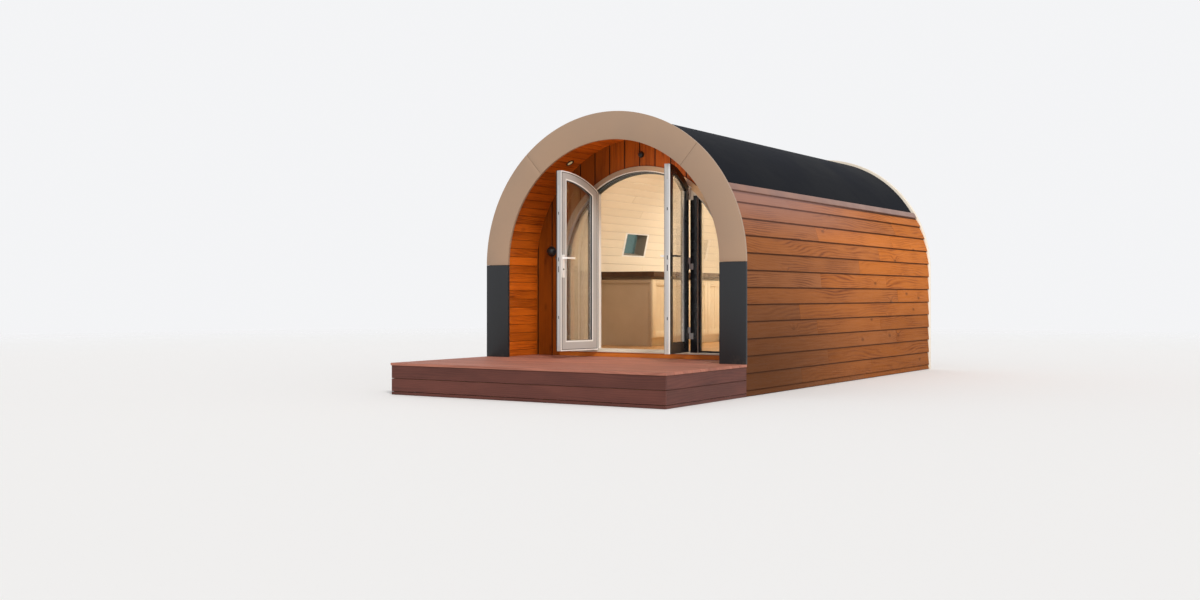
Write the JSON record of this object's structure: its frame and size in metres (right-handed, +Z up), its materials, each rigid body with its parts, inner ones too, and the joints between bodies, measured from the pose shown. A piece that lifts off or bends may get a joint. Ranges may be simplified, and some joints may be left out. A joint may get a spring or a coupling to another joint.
{
  "type": "garden office pod",
  "caption": "Arched timber-clad garden room with a recessed porch, arch-headed double doors and a raised front deck.",
  "frame": {"origin": "on the ground under the middle of the whole object's box", "axes": "+X to the right as seen from the deck, +Y from the deck to the rear, +Z up"},
  "size_m": [3, 6.92, 2.755],
  "materials": {
    "structural_timber": "sawn",
    "oak_floor": "satin",
    "interior_boards": "matt stain",
    "thermowood": "weathered oil",
    "eave_metal": "matt",
    "roof_membrane": "matt",
    "leg_panel": "matt",
    "fascia_composite": "satin",
    "porch_boards": "satin stain",
    "rear_boards": "weathered oil",
    "rear_trim_paint": "satin",
    "frame_paint": "satin",
    "sill": "satin",
    "clear_glass": "polished",
    "handle_steel": "brushed",
    "deck_composite": "grooved",
    "skirt_composite": "matt",
    "kitchen_fronts": "painted satin",
    "worktop_wood": "oiled",
    "window_paint": "painted satin",
    "light_black": "satin"
  },
  "bodies": {
    "pod": {"floor_bearers": "structural_timber", "floor_panel": "structural_timber", "deck_frame": "structural_timber", "room_floor": "oak_floor", "left_wall": "interior_boards", "right_wall": "interior_boards", "left_vault": "interior_boards", "crown_vault": "interior_boards", "right_vault": "interior_boards", "left_cladding": "thermowood", "right_cladding": "thermowood", "eave_trims": "eave_metal", "roof_membrane": "roof_membrane", "left_leg_panel": "leg_panel", "right_leg_panel": "leg_panel", "left_fascia": "fascia_composite", "crown_fascia": "fascia_composite", "right_fascia": "fascia_composite", "left_porch_lining": "porch_boards", "right_porch_lining": "porch_boards", "porch_ceiling": "porch_boards", "left_front_wall": "porch_boards", "right_front_wall": "porch_boards", "front_wall_head": "porch_boards", "rear_wall": "rear_boards", "rear_trim": "rear_trim_paint", "frame_head": "frame_paint", "frame_posts": "frame_paint", "threshold": "sill", "left_side_light": "clear_glass", "right_side_light": "clear_glass", "side_window_glass": "clear_glass", "deck_boards": "deck_composite", "front_skirt": "skirt_composite", "side_skirts": "skirt_composite", "kitchen_units": "kitchen_fronts", "worktop": "worktop_wood", "side_window_frame": "window_paint", "porch_lights": "light_black"},
    "left_door": {"left_door_leaf": "frame_paint", "left_door_glass": "clear_glass", "left_door_handles": "handle_steel"},
    "right_door": {"right_door_leaf": "frame_paint", "right_door_glass": "clear_glass", "right_door_handles": "handle_steel"}
  },
  "joints": [
    {"name": "left_door_hinge", "type": "hinge", "parent": "pod", "child": "left_door", "pos_m": [-0.5725, -1.33, 0], "axis": [0, 0, -1], "range_deg": [-100, 8]},
    {"name": "right_door_hinge", "type": "hinge", "parent": "pod", "child": "right_door", "pos_m": [0.5725, -1.33, 0], "axis": [0, 0, 1], "range_deg": [-100, 8]}
  ]
}
